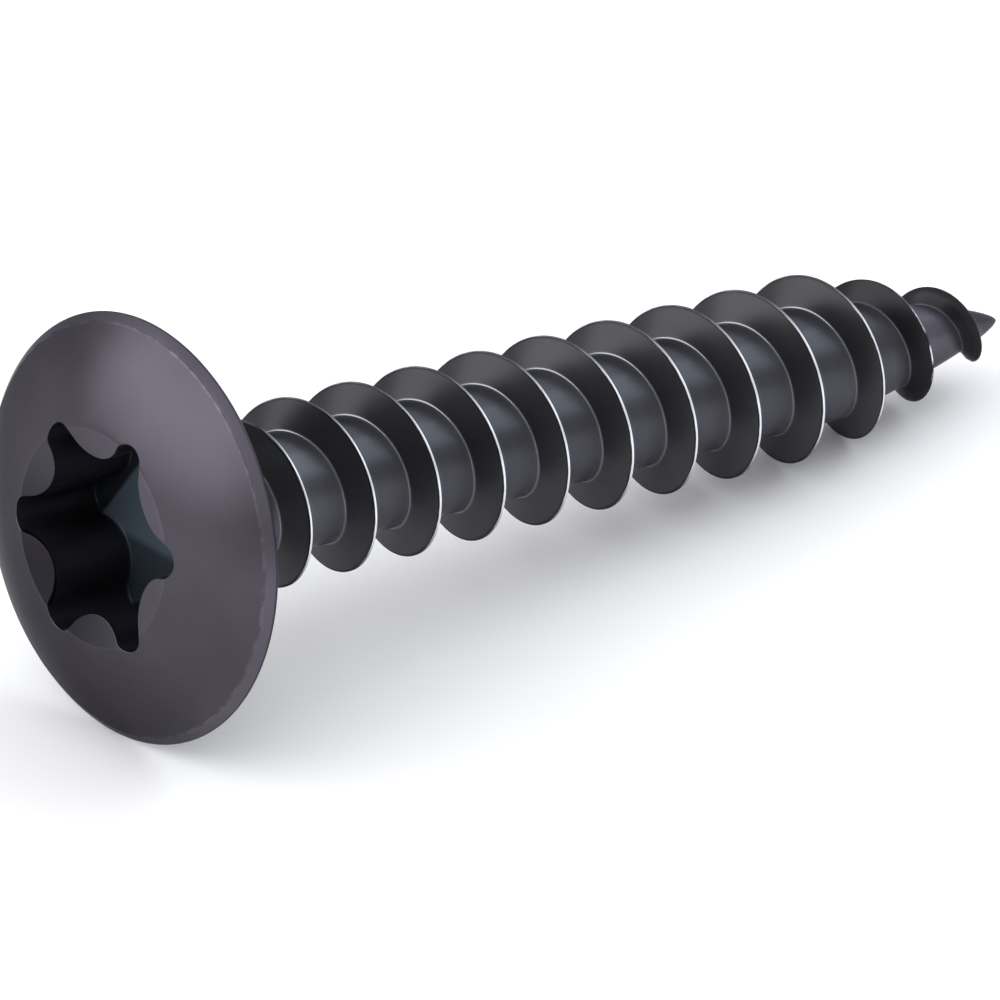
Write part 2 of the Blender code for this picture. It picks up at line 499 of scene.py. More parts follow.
@dataclass
class Head:
    """Domed head with its socket, seat and neck, built ring by ring from the neck upwards."""

    blank: Blank
    socket: Socket
    join_height: float = -1.45 * MM
    seat_lines: Point2 = (3.5 * MM, 4.5 * MM)
    dome_margin: float = 0.2 * MM
    inner_dome_radius: float = 2.90 * MM
    seat_steps: int = 3
    dome_steps: int = 10
    mouth_steps: tuple[int, ...] = (3, 6, 5)
    mouth_margin: float = 1.6
    least_gap: float = 0.95
    corner_steps: int = 5
    wall_steps: int = 8
    floor_steps: int = 5
    spokes: list[Vector] = field(default_factory=list)

    @property
    def mouth_height(self) -> float:
        """Height at which the mouth's cone meets the dome."""
        return self.blank.dome_height(self.socket.mouth_radius)

    @property
    def floor_height(self) -> float:
        """Height of the socket's floor."""
        return self.mouth_height - self.socket.depth

    @property
    def neck_foot(self) -> Point2:
        """Radius and height of the corner between the neck and its cone."""
        return self.blank.neck_foot_radius, self.floor_height - self.blank.neck_floor

    def cone_radius(self, height: float) -> float:
        """Return the radius of the neck's lower cone at a height."""
        radius, foot = self.neck_foot
        return radius + (height - foot) * math.tan(self.blank.neck_cone_angle)

    def top_height(self, radius: float) -> float:
        """Work out the height of the head's face, where the mouth's cone cuts the dome.

        Args:
            radius: Distance from the axis.

        Returns:
            The height over the seat.
        """
        slope = self.socket.mouth_fall / (self.socket.mouth_radius - self.socket.across_flutes / 2.0)
        cone = self.mouth_height + (radius - self.socket.mouth_radius) * slope
        return blend_low(self.blank.dome_height(radius), cone, self.socket.mouth_blend)

    def turned_outline(self) -> list[Point2]:
        """Draw half of the head's section, from the neck over the seat and rim to the inner dome.

        Returns:
            Radius and height of each round ring.
        """
        blank = self.blank
        foot_radius, foot = self.neck_foot
        neck_top = (foot_radius - foot * math.tan(blank.neck_draft), 0.0)
        seat_edge = (blank.head_radius - blank.rim_height, 0.0)
        rim = (blank.head_radius, blank.rim_height)
        start = (self.cone_radius(self.join_height), self.join_height)
        past_rim = (self.inner_dome_radius, blank.dome_height(self.inner_dome_radius))
        edge = blank.dome_edge[0] - self.dome_margin
        first_dome = (edge, blank.dome_height(edge))
        corners = [start, (foot_radius, foot), neck_top, seat_edge, rim, blank.dome_edge, first_dome]
        rounds = [blank.corner_round] * 2 + [blank.seat_round] + [blank.edge_round] * 2
        outline = [start]
        for before, corner, after, radius in zip(corners, corners[1:], corners[2:], rounds):
            outline += round_corner(before, corner, after, radius, self.corner_steps)
            if corner == neck_top:
                outline += [(line, 0.0) for line in spread(self.seat_lines, [self.seat_steps])]
        for step in range(1, self.dome_steps):
            radius = edge + (past_rim[0] - edge) * step / self.dome_steps
            outline.append((radius, blank.dome_height(radius)))
        outline.append(past_rim)
        return outline

    def build(self) -> bpy.types.Object:
        """Model the head as one open shell that ends in a ring on the neck's cone.

        Returns:
            The head, upright over the origin.
        """
        grown = self.socket.outline(self.socket.edge_round)
        self.spokes = [point.normalized() for point in grown]
        outline = self.turned_outline()
        Bench.clear_selection()
        bpy.ops.mesh.primitive_circle_add(
            vertices=self.socket.count,
            radius=outline[0][0],
            fill_type="NOTHING",
            location=(0.0, 0.0, 0.0),
            enter_editmode=True,
        )
        piece = bpy.context.object
        piece.name = "screw_head"
        bpy.ops.mesh.select_all(action="SELECT")
        Bench.place_ring(piece, self.round_ring(*outline[0]))
        for radius, height in outline[1:]:
            Bench.next_ring(piece, self.round_ring(radius, height))
        self.cut_mouth(piece, grown)
        self.sink_socket(piece)
        bpy.ops.object.mode_set(mode="OBJECT")
        return piece

    def round_ring(self, radius: float, height: float) -> Callable[[int, Vector], Vector]:
        """Return the rule for a round ring whose points stand on the socket's spokes."""
        return self.ring_of(self.on_spokes([radius] * self.socket.count), [height] * self.socket.count)

    def on_spokes(self, radii: Sequence[float]) -> list[Vector]:
        """Return one point on each of the socket's spokes."""
        return [Vector((spoke.x * radius, spoke.y * radius)) for spoke, radius in zip(self.spokes, radii)]

    @staticmethod
    def ring_of(points: Sequence[Vector], heights: Sequence[float]) -> Callable[[int, Vector], Vector]:
        """Return the rule that puts each point of a ring in its place."""
        return lambda number, _: Vector((*points[number], heights[number]))

    def cut_mouth(self, piece: bpy.types.Object, grown: Sequence[Vector]) -> None:
        """Draw the head's face inwards, down the mouth's cone, to the socket's edge.

        Args:
            piece: The head in edit mode, with its innermost dome ring selected.
            grown: The socket's outline at the outer side of its rounded edge.
        """
        socket = self.socket
        blend = self.mouth_margin * socket.mouth_blend
        inner = socket.across_flutes / 2.0 + socket.edge_round
        marks = [self.inner_dome_radius, socket.mouth_radius + blend, socket.mouth_radius - blend, inner]
        knots = spread(marks, self.mouth_steps)[1:]
        edges = [point.length for point in grown]
        least = self.least_gap * (self.inner_dome_radius - max(edges)) / len(knots)
        for index, knot in enumerate(knots):
            spare = (len(knots) - 1 - index) * least
            radii = [max(knot, edge + spare) for edge in edges]
            heights = [self.top_height(radius) for radius in radii]
            Bench.next_ring(piece, self.ring_of(self.on_spokes(radii), heights))

    def sink_socket(self, piece: bpy.types.Object) -> None:
        """Round the socket's edge, drop its walls and close its floor.

        Args:
            piece: The head in edit mode, with the ring at the socket's edge selected.
        """
        socket = self.socket
        quarter = [0.5 * math.pi * step / self.corner_steps for step in range(1, self.corner_steps + 1)]
        tops = [self.top_height(point.length) for point in socket.outline(socket.edge_round)]
        for angle in quarter:
            ring = socket.outline(socket.edge_round * (1.0 - math.sin(angle)))
            drop = socket.edge_round * (1.0 - math.cos(angle))
            Bench.next_ring(piece, self.ring_of(ring, [top - drop for top in tops]))
        wall = socket.outline(0.0)
        low = self.floor_height + socket.floor_round
        highs = [top - socket.edge_round for top in tops]
        for step in range(1, self.wall_steps + 1):
            share = step / self.wall_steps
            Bench.next_ring(piece, self.ring_of(wall, [high + (low - high) * share for high in highs]))
        for angle in quarter:
            ring = socket.outline(-socket.floor_round * (1.0 - math.cos(angle)))
            height = self.floor_height + socket.floor_round * (1.0 - math.sin(angle))
            Bench.next_ring(piece, self.ring_of(ring, [height] * len(ring)))
        for step in range(1, self.floor_steps):
            share = 1.0 - step / self.floor_steps
            inner = [point * share for point in ring]
            Bench.next_ring(piece, self.ring_of(inner, [self.floor_height] * len(inner)))
        bpy.ops.mesh.extrude_region_move()
        bpy.ops.mesh.merge(type="CENTER")


@dataclass
class Shank:
    """Core, thread and gimlet point, swept as one skin whose lines follow the helix."""

    blank: Blank
    thread: Thread
    head: Head
    steps_per_turn: int = 108
    join_gap: float = 0.06 * MM
    tip_ring_height: float = -24.26 * MM
    tip_rings: int = 7

    @property
    def top(self) -> float:
        """Height at which the skin is cut square under the neck."""
        return self.head.join_height - self.join_gap

    @property
    def neck_end(self) -> float:
        """Height at which the neck's cone runs out on the core.

        Returns:
            The height over the seat.
        """
        radius, foot = self.head.neck_foot
        fall = (radius - self.thread.core_radius) / math.tan(self.blank.neck_cone_angle)
        return foot - fall

    def ridge_share(self, height: float) -> float:
        """Draw the ridge down at its two ends.

        Args:
            height: Height over the seat.

        Returns:
            The share of its height that the ridge has there.
        """
        thread = self.thread
        top = self.neck_end + thread.run_in_turns * thread.pitch / 2.0
        bottom = thread.end_gap - self.blank.shank_length
        start = smooth_step((top - height) / (thread.run_in_turns * thread.pitch))
        end = smooth_step((height - bottom) / (thread.run_out_turns * thread.pitch))
        return start * end

    def ridge(self, offset: float, height: float) -> float:
        """Return the ridge's height over the core.

        Args:
            offset: Distance along the axis from the middle of the crest.
            height: Height over the seat.

        Returns:
            Sharp-crested ridge on the shank, turning into a low round worm on the point.
        """
        thread = self.thread
        point_start = self.blank.point_length - self.blank.shank_length
        lowered = smooth_step((point_start - height) / thread.pitch + thread.point_lead_turns)
        lowered = 1.0 - (1.0 - thread.point_height_share) * lowered
        flank = (thread.foot - abs(offset)) / thread.slope
        crest_width = thread.crest_blend * thread.crest_round / thread.slope
        sharp = blend_low(thread.ridge_height, flank, crest_width)
        sharp = blend_high(sharp, 0.0, thread.root_blend)
        worm = 0.0
        if abs(offset) < thread.worm_half_width:
            wave = math.cos(0.5 * math.pi * offset / thread.worm_half_width)
            worm = thread.worm_height * wave**thread.worm_fullness
        rounded = smooth_step((thread.worm_start - height) / thread.worm_length)
        form = sharp * lowered * (1.0 - rounded) + worm * rounded
        return form * self.ridge_share(height)

    def skin_radius(self, height: float, angle: float) -> float:
        """Work out the radius of the shank's surface.

        Args:
            height: Height over the seat.
            angle: Angle about the axis.

        Returns:
            The radius.
        """
        thread = self.thread
        core = self.blank.core_radius(height, thread.core_radius)
        raised = core + self.ridge(thread.offset_from_crest(height, angle), height)
        return blend_high(raised, self.head.cone_radius(height), self.blank.neck_blend)

    def build(self) -> bpy.types.Object:
        """Sweep the skin, shape it, cut it square at the neck and close it at the tip.

        Returns:
            The shank, upright under the origin.
        """
        thread = self.thread
        crest = thread.crest_at(0.0)
        lift = (self.top + thread.pitch / 2.0 - crest) / thread.pitch
        crest += thread.pitch * math.ceil(lift)
        offsets = [-offset for offset in thread.stations()]
        place = Vector((thread.core_radius, 0.0, crest + offsets[0]))
        piece = Bench.start_point("screw_shank", place)
        for before, after in zip(offsets, offsets[1:]):
            Bench.draw_to(Vector((0.0, 0.0, after - before)))
        bpy.ops.object.mode_set(mode="OBJECT")
        bpy.ops.object.transform_apply(location=True, rotation=True, scale=True)
        sweep = piece.modifiers.new("helix", "SCREW")
        sweep.axis = "Z"
        sweep.angle = -math.tau * thread.hand.value
        sweep.screw_offset = -thread.pitch
        sweep.iterations = math.ceil((crest - self.tip_ring_height) / thread.pitch) + 1
        sweep.steps = self.steps_per_turn
        sweep.render_steps = self.steps_per_turn
        sweep.use_merge_vertices = False
        bpy.ops.object.modifier_apply(modifier=sweep.name)
        for corner in piece.data.vertices:
            angle = math.atan2(corner.co.y, corner.co.x)
            radius = self.skin_radius(corner.co.z, angle)
            corner.co = Vector((math.cos(angle) * radius, math.sin(angle) * radius, corner.co.z))
        self.trim(piece)
        return piece

    def trim(self, piece: bpy.types.Object) -> None:
        """Cut the swept skin square at both ends and draw the point to its tip.

        Args:
            piece: The swept skin.
        """
        bpy.ops.object.mode_set(mode="EDIT")
        bpy.ops.mesh.select_all(action="SELECT")
        bpy.ops.mesh.remove_doubles(threshold=WELD_REACH)
        for height, above in ((self.top, True), (self.tip_ring_height, False)):
            bpy.ops.mesh.select_all(action="SELECT")
            bpy.ops.mesh.bisect(
                plane_co=(0.0, 0.0, height),
                plane_no=(0.0, 0.0, 1.0),
                clear_outer=above,
                clear_inner=not above,
                threshold=CUT_REACH,
            )
        left = self.tip_ring_height + self.blank.shank_length
        for ring in range(1, self.tip_rings):
            share = 1.0 - math.sin(0.5 * math.pi * ring / self.tip_rings)
            height = left * share - self.blank.shank_length
            radius = self.blank.core_radius(height, self.thread.core_radius)

            def place(_: int, old: Vector) -> Vector:
                flat = Vector((old.x, old.y)).normalized() * radius
                return Vector((flat.x, flat.y, height))

            Bench.next_ring(piece, place)
        bpy.ops.mesh.extrude_region_move()
        bpy.ops.mesh.merge(type="CENTER")
        mesh = bmesh.from_edit_mesh(piece.data)
        for corner in mesh.verts:
            if corner.select:
                corner.co = Vector((0.0, 0.0, -self.blank.shank_length))
        bmesh.update_edit_mesh(piece.data)
        bpy.ops.object.mode_set(mode="OBJECT")


class Nodes:
    """Short ways to add and join the nodes of a material or of the room."""

    def __init__(self, tree: bpy.types.NodeTree) -> None:
        """Keep the tree that the nodes go into."""
        self.tree = tree

    def join(self, start: Value, end: Value) -> None:
        """Link one socket to another."""
        self.tree.links.new(start, end)

    def put(
        self, kind: str, feeds: dict[str | int, object], result: str | int = 0, **options: object
    ) -> Value:
        """Add a node, set its options, feed its inputs and give one of its results.

        Args:
            kind: The kind of node.
            feeds: For each input, by name or number, a socket to link or a plain value.
            result: Name or number of the output that is wanted.
            options: The node's own settings.

        Returns:
            The output.
        """
        node = self.tree.nodes.new(kind)
        for name, option in options.items():
            setattr(node, name, option)
        for name, feed in feeds.items():
            if isinstance(feed, bpy.types.NodeSocket):
                self.join(feed, node.inputs[name])
            else:
                node.inputs[name].default_value = feed
        return node.outputs[result]

    def attribute(self, name: str) -> Value:
        """Read a number that the mesh carries."""
        return self.put("ShaderNodeAttribute", {}, "Fac", attribute_name=name, attribute_type="GEOMETRY")

    def noise(self, place: Value, scale: float, detail: float) -> Value:
        """Add a noise texture and return its value."""
        return self.put("ShaderNodeTexNoise", {"Vector": place, "Scale": scale, "Detail": detail}, "Fac")

    def ranged(self, value: Value, span: Span) -> Value:
        """Map a range of a value onto another range, and hold it there."""
        names = ("Value", "From Min", "From Max", "To Min", "To Max")
        return self.put("ShaderNodeMapRange", dict(zip(names, (value, *span))), "Result", clamp=True)

    def times(self, first: Value, second: Value) -> Value:
        """Multiply two values."""
        return self.put("ShaderNodeMath", {0: first, 1: second}, operation="MULTIPLY")

    def over(self, first: Value, second: Value) -> Value:
        """Divide one value by another."""
        return self.put("ShaderNodeMath", {0: first, 1: second}, operation="DIVIDE")

    def within(self, *limits: tuple[Value, Span]) -> Value:
        """Multiply together what several spans give."""
        return reduce(self.times, [self.ranged(value, span) for value, span in limits])

    def along(self, place: Value, line: Vector) -> Value:
        """Measure how far a place lies along a line from the origin."""
        return self.put("ShaderNodeVectorMath", {0: place, 1: line}, "Value", operation="DOT_PRODUCT")

    def scaled(self, colour: Value, amount: Value) -> Value:
        """Multiply a colour by an amount."""
        return self.put("ShaderNodeVectorMath", {0: colour, "Scale": amount}, "Vector", operation="SCALE")

    def mixed(self, value: Value | float, other: Value | float, share: Value) -> Value:
        """Mix one number into another by a share."""
        return self.put("ShaderNodeMix", {0: share, 2: value, 3: other}, data_type="FLOAT")

    def blend(self, base: Value | Colour, top: Colour, share: Value) -> Value:
        """Mix a colour by a share over another or over what is already there."""
        under = (*base, 1.0) if isinstance(base, tuple) else base
        return self.put("ShaderNodeMix", {0: share, 6: under, 7: (*top, 1.0)}, 2, data_type="RGBA")


class ScrewNodes(Nodes):
    """The finish's nodes, with what they measure at each place of the upright screw."""

    cloud_noise: Point2 = (420.0, 3.0)
    speck_noise: Point2 = (3200.0, 2.0)
    grain_noise: Point2 = (14000.0, 3.0)

    def __init__(self, tree: bpy.types.NodeTree, axis: ScrewAxis) -> None:
        """Measure the place, its side, the thread's rise and rubbing, and three noises.

        Args:
            tree: The material's node tree.
            axis: Where the screw lies.
        """
        super().__init__(tree)
        matrix = axis.matrix()
        laid = self.put("ShaderNodeTexCoord", {}, "Object")
        feeds = {"Vector": laid, "Location": matrix.to_translation(), "Rotation": matrix.to_euler()}
        self.upright = self.put("ShaderNodeMapping", feeds, vector_type="TEXTURE")
        self.up = self.put("ShaderNodeSeparateXYZ", {0: self.upright}, "X")
        parts = self.up.node.outputs
        self.height = parts["Z"]
        flat = self.put("ShaderNodeCombineXYZ", {"X": parts["X"], "Y": parts["Y"]})
        self.radius = self.put("ShaderNodeVectorMath", {0: flat}, "Value", operation="LENGTH")
        self.turn = self.over(self.up, self.radius)
        self.rubbed = self.attribute(RUB)
        self.rise = self.attribute(RISE)
        self.cloud = self.noise(self.upright, *self.cloud_noise)
        self.speck = self.noise(self.upright, *self.speck_noise)
        self.grain = self.noise(self.upright, *self.grain_noise)


@dataclass(frozen=True)
class BlackZinc:
    """Black zinc finish: satin and slightly violet, rubbed bright along the thread's crest, with painted
    light, painted highlights, painted sheen and painted shade laid on by place.

    A span holds where a measure starts and stops, and what the result then goes from and to.
    Turns go from 1, on the side that lies uppermost on the table, to -1 below. Rises are shares
    of the ridge's height, and are below zero out on the core between two turns.
    """

    axis: ScrewAxis

    head_tint: Colour = (0.0655, 0.0600, 0.0735)
    head_height: Span = (-1.9 * MM, -1.6 * MM, 0.0, 1.0)
    head_metal: float = 0.88

    thread_tint: Colour = (0.0585, 0.0590, 0.0670)
    thread_metal: float = 0.66
    flank_tint: Colour = (0.0480, 0.0475, 0.0510)
    flank_rise: Span = (0.03, 0.12, 0.0, 1.0)
    # Painted light: the shank's tint is lighter on its lowest side, as if lit from the table, and a little
    # darker on its upper side.
    low_side_painted_light: Span = (-0.9, 0.5, 1.75, 0.90)
    # Painted light: the first turns by the head are lightened against the shade that the head casts on
    # them.
    by_head_painted_light: Span = (-4.3 * MM, -3.0 * MM, 1.0, 1.5)
    # Painted light: the core is lightened at the foot of each flank, where shade falls between the turns.
    valley_rise: Span = (-0.60, -0.05, 0.0, 1.0)
    foot_rise: Span = (0.01, 0.05, 1.0, 0.0)
    foot_painted_light: Span = (0.0, 1.0, 1.0, 1.75)

    point_core_tint: Colour = (0.0950, 0.0880, 0.1080)
    drawn_height: Span = (-21.5 * MM, -20.5 * MM, 1.0, 0.0)
    tip_height: Span = (-23.5 * MM, -22.9 * MM, 0.0, 1.0)
    point_ridge_tint: Colour = (0.0230, 0.0220, 0.0245)
    point_height: Span = (-20.3 * MM, -19.9 * MM, 1.0, 0.0)
    ridge_rise: Span = (0.01, 0.07, 0.0, 1.0)

    # Painted highlight: a bright glint along the root fillet, strongest on the upper side, on a smoother
    # fillet.
    root_painted_glint: Colour = (0.26, 0.26, 0.29)
    root_start: Span = (0.006, 0.016, 0.0, 1.0)
    root_stop: Span = (0.040, 0.060, 1.0, 0.0)
    root_first: Span = (-2.9 * MM, -2.8 * MM, 1.0, 0.0)
    root_last: Span = (-19.5 * MM, -19.3 * MM, 0.0, 1.0)
    root_above: Span = (0.20, 0.75, 0.35, 1.0)
    root_below: Span = (-0.95, -0.75, 1.0, 0.0)
    root_below_share: float = 0.8
    root_roughness: float = 0.14

    crest_tint: Colour = (0.0160, 0.0160, 0.0175)
    crest_mark: Span = (0.30, 0.60, 0.0, 1.0)
    # Worn bright steel along the crest, faded out on the top and bottom sides: partly wear and partly a
    # painted highlight.
    rub_and_painted_glint: Colour = (0.84, 0.85, 0.90)
    rubbed_mark: Span = (0.55, 1.0, 0.0, 2.0)
    rubbed_gaps: Span = (0.35, 0.65, 0.0, 1.0)
    painted_glint_above: Span = (0.60, 1.00, 1.0, 0.05)
    painted_glint_below: Span = (-0.75, -0.30, 0.05, 1.0)

    # Painted light and shade: the mouth's facets are lighter on one side and darker on the other.
    mouth_light_side: Vector = field(default_factory=lambda: Vector((0.656, -0.755, 0.0)))
    mouth_painted_light: Span = (-1.0, 1.0, 0.32, 1.59)
    mouth_radius: Span = (2.39 * MM, 2.42 * MM, 1.0, 0.0)
    mouth_height: Span = (1.06 * MM, 1.08 * MM, 0.0, 1.0)

    # Painted sheen lightens the rim's bevel, a speckled worn line runs along it, and painted shadow
    # darkens the rim's outer side.
    rim_painted_sheen: Span = (4.55 * MM, 4.58 * MM, 1.0, 1.45)
    rim_line_start: Span = (4.50 * MM, 4.54 * MM, 0.0, 1.0)
    rim_line_stop: Span = (4.56 * MM, 4.60 * MM, 1.0, 0.0)
    rim_specks: Span = (0.40, 0.60, 0.0, 1.0)
    rim_top: Span = (0.0, 0.03 * MM, 0.0, 1.0)
    rim_wear: float = 1.65
    rim_edge: Span = (4.715 * MM, 4.735 * MM, 0.0, 1.0)
    rim_shadow: float = 0.30

    # Painted shade darkens the socket's floor, and a painted pool of light lies on one side of it.
    floor_painted_shade: Colour = (0.008, 0.010, 0.014)
    floor_painted_light: Colour = (0.058, 0.080, 0.098)
    floor_metal: float = 0.10
    floor_radius: Span = (2.60 * MM, 2.65 * MM, 1.0, 0.0)
    floor_over: Span = (-1.01 * MM, -0.95 * MM, 1.0, 0.0)
    floor_under: Span = (-1.14 * MM, -1.09 * MM, 0.0, 1.0)
    light_patch_line: Vector = field(default_factory=lambda: Vector((-0.535, -0.845, 0.0)))
    light_patch_reach: Span = (-1.533 * MM, -1.453 * MM, 0.0, 1.0)
    light_patch_side: Span = (-1.02 * MM, -0.84 * MM, 0.30, 1.0)

    cloud_tint: Span = (0.10, 0.90, 0.76, 1.24)
    cloud_roughness: Span = (0.10, 0.90, 0.26, 0.34)
    grain_strength: float = 0.10
    grain_depth: float = 0.003 * MM
    edge_tint: Colour = (0.35, 0.35, 0.35)

    def build(self) -> bpy.types.Material:
        """Build the finish from nodes on the screw's own upright coordinates.

        Returns:
            The material.
        """
        material = bpy.data.materials.new(SLOT)
        material.use_nodes = True
        at = ScrewNodes(material.node_tree, self.axis)
        on_head = at.ranged(at.height, self.head_height)
        # root is the painted glint at the thread's root; rubbed is the crest's worn line, faded on the top
        # and bottom sides so that it is partly a painted highlight.
        root, rubbed = self.root_painted_glint_mask(at), self.rub_and_painted_glint_mask(at)
        # The socket's floor, darkened with painted shade, and the part of it that gets the painted pool of
        # light.
        level = at.within((at.height, self.floor_over), (at.height, self.floor_under))
        floor = at.times(at.ranged(at.radius, self.floor_radius), level)
        reach = at.along(at.upright, self.light_patch_line)
        painted_light_patch = at.within((reach, self.light_patch_reach), (at.up, self.light_patch_side))

        tint = at.blend(self.shank_tint(at), self.head_tint, on_head)
        # Painted light and shade on the mouth's facets and the rim, and tone that varies at random.
        for gain in (self.mouth_painted_light_gain(at), at.ranged(at.cloud, self.cloud_tint), self.rim_shade(at)):
            tint = at.scaled(tint, gain)
        # Painted glint at the root, darkened crest, worn crest line that is partly a painted highlight,
        # painted shade on the socket's floor and a painted pool of light on part of it.
        layers = (
            (self.root_painted_glint, root),
            (self.crest_tint, at.ranged(at.rubbed, self.crest_mark)),
            (self.rub_and_painted_glint, rubbed),
            (self.floor_painted_shade, floor),
            (self.floor_painted_light, at.times(floor, painted_light_patch)),
        )
        for colour, share in layers:
            tint = at.blend(tint, colour, share)
        metal = at.ranged(on_head, (0.0, 1.0, self.thread_metal, self.head_metal))
        metal = at.mixed(at.mixed(metal, 1.0, rubbed), self.floor_metal, floor)
        rough = at.mixed(at.ranged(at.cloud, self.cloud_roughness), self.root_roughness, root)
        grain = {"Height": at.grain, "Strength": self.grain_strength, "Distance": self.grain_depth}
        bump = at.put("ShaderNodeBump", grain, "Normal")

        inputs = material.node_tree.nodes["Principled BSDF"].inputs
        finish = {"Base Color": tint, "Metallic": metal, "Roughness": rough, "Normal": bump}
        for name, value in finish.items():
            at.join(value, inputs[name])
        inputs["Specular Tint"].default_value = (*self.edge_tint, 1.0)
        return material

    def shank_tint(self, at: ScrewNodes) -> Value:
        """Tint the core, the flanks and the point, with painted light on the side that lies lowest, by the
        head and at the foot of each flank, and a lighter core and a darker ridge on the point.

        Args:
            at: The finish's nodes.

        Returns:
            The tint, as it is before any rubbing.
        """
        tint = at.blend(self.thread_tint, self.flank_tint, at.ranged(at.rise, self.flank_rise))
        foot = at.within((at.rise, self.valley_rise), (at.rise, self.foot_rise))
        # Painted light by side, by the head and at each flank's foot.
        gains = ((at.turn, self.low_side_painted_light), (at.height, self.by_head_painted_light), (foot, self.foot_painted_light))
        for value, span in gains:
            tint = at.scaled(tint, at.ranged(value, span))
        drawn = at.within((at.height, self.drawn_height), (at.height, self.tip_height))
        ridge = at.within((at.height, self.point_height), (at.rise, self.ridge_rise))
        return at.blend(at.blend(tint, self.point_core_tint, drawn), self.point_ridge_tint, ridge)

    def root_painted_glint_mask(self, at: ScrewNodes) -> Value:
        """Find the painted glint along the fillet at the thread's root, on the straight part of the core,
        strongest on its upper side.

        Args:
            at: The finish's nodes.

        Returns:
            A mask from 0 to 1.
        """
        rise = at.within((at.rise, self.root_start), (at.rise, self.root_stop))
        height = at.within((at.height, self.root_first), (at.height, self.root_last))
        above, below = at.ranged(at.turn, self.root_above), at.ranged(at.turn, self.root_below)
        return at.times(at.times(rise, height), at.mixed(above, self.root_below_share, below))

    def rub_and_painted_glint_mask(self, at: ScrewNodes) -> Value:
        """Find where the crest is rubbed bright, broken up into specks where that is thin, and fade it out
        on the top and bottom sides, so that it is partly a painted highlight.

        Args:
            at: The finish's nodes.

        Returns:
            A mask from 0 to 1.
        """
        feeds = {0: at.ranged(at.rubbed, self.rubbed_mark), 1: at.ranged(at.speck, self.rubbed_gaps)}
        left = at.put("ShaderNodeMath", feeds, operation="SUBTRACT", use_clamp=True)
        return at.times(left, at.within((at.turn, self.painted_glint_above), (at.turn, self.painted_glint_below)))

    def mouth_painted_light_gain(self, at: ScrewNodes) -> Value:
        """Paint light and shade on the mouth's facets, lighter on one side and darker on the other.

        Args:
            at: The finish's nodes.

        Returns:
            A factor for the tint, 1 off the facets.
        """
        side = at.over(at.along(at.upright, self.mouth_light_side), at.radius)
        facets = at.within((at.radius, self.mouth_radius), (at.height, self.mouth_height))
        return at.mixed(1.0, at.ranged(side, self.mouth_painted_light), facets)

    def rim_shade(self, at: ScrewNodes) -> Value:
        """Paint a sheen on the rim's bevel with a speckled worn line along it, and painted shadow on the
        rim's outer side.

        Args:
            at: The finish's nodes.

        Returns:
            A factor for the tint, 1 inside the rim.
        """
        line = at.within((at.radius, self.rim_line_start), (at.radius, self.rim_line_stop))
        specks = at.within((at.speck, self.rim_specks), (at.height, self.rim_top))
        worn = at.mixed(at.ranged(at.radius, self.rim_painted_sheen), self.rim_wear, at.times(line, specks))
        return at.mixed(worn, self.rim_shadow, at.ranged(at.radius, self.rim_edge))


@dataclass
class FormedScrew:
    """The finished screw: head and shank welded into one skin and laid on the table."""

    axis: ScrewAxis
    blank: Blank = field(default_factory=Blank)
    thread: Thread = field(default_factory=Thread)
    socket: Socket = field(default_factory=Socket)
    wear_top: float = -1.6 * MM
    sharp_angle: float = math.radians(50.0)

    def build(self) -> bpy.types.Object:
        """Model the screw, weld its two halves, lay it down and dress it.

        Returns:
            The finished piece.
        """
        head = Head(self.blank, self.socket)
        shank = Shank(self.blank, self.thread, head)
        top = head.build()
        piece = shank.build()
        Bench.pick(piece)
        top.select_set(True)
        bpy.ops.object.join()
        piece.name = "furniture_screw_formed"
        self.weld(piece)
        self.wear(piece)
        piece.data.transform(self.axis.matrix())
        bpy.ops.object.shade_smooth_by_angle(angle=self.sharp_angle)
        piece.data.materials.clear()
        piece.data.materials.append(BlackZinc(self.axis).build())
        return piece

    def weld(self, piece: bpy.types.Object) -> None:
        """Bridge the open rings of the head and the shank on the neck's cone.

        Args:
            piece: The joined head and shank.
        """
        bpy.ops.object.mode_set(mode="EDIT")
        bpy.ops.mesh.select_mode(type="EDGE")
        bpy.ops.mesh.select_all(action="DESELECT")
        bpy.ops.mesh.select_non_manifold(
            extend=False, use_wire=False, use_multi_face=False, use_verts=False
        )
        bpy.ops.mesh.bridge_edge_loops()
        bpy.ops.mesh.select_all(action="SELECT")
        bpy.ops.mesh.normals_make_consistent(inside=False)
        mesh = bmesh.from_edit_mesh(piece.data)
        open_edges = sum(1 for edge in mesh.edges if not edge.is_manifold)
        LOG.info("welded: %d points, %d open edges", len(mesh.verts), open_edges)
        bpy.ops.object.mode_set(mode="OBJECT")

    def wear(self, piece: bpy.types.Object) -> None:
        """Mark how far each point of the thread stands over the core and how far it is rubbed.

        Args:
            piece: The welded screw, still upright.
        """
        thread = self.thread
        rubs = piece.data.attributes.new(RUB, "FLOAT", "POINT").data
        rises = piece.data.attributes.new(RISE, "FLOAT", "POINT").data
        for corner, rub, rise in zip(piece.data.vertices, rubs, rises):
            place = corner.co
            if place.z < self.wear_top:
                angle = math.atan2(place.y, place.x)
                past_foot = abs(thread.offset_from_crest(place.z, angle)) - thread.foot
                core = self.blank.core_radius(place.z, thread.core_radius)
                raised = (math.hypot(place.x, place.y) - core) / thread.ridge_height
                rise.value = raised - max(0.0, past_foot) / (thread.pitch / 2.0 - thread.foot)
                rub.value = thread.rub(place.z, angle)


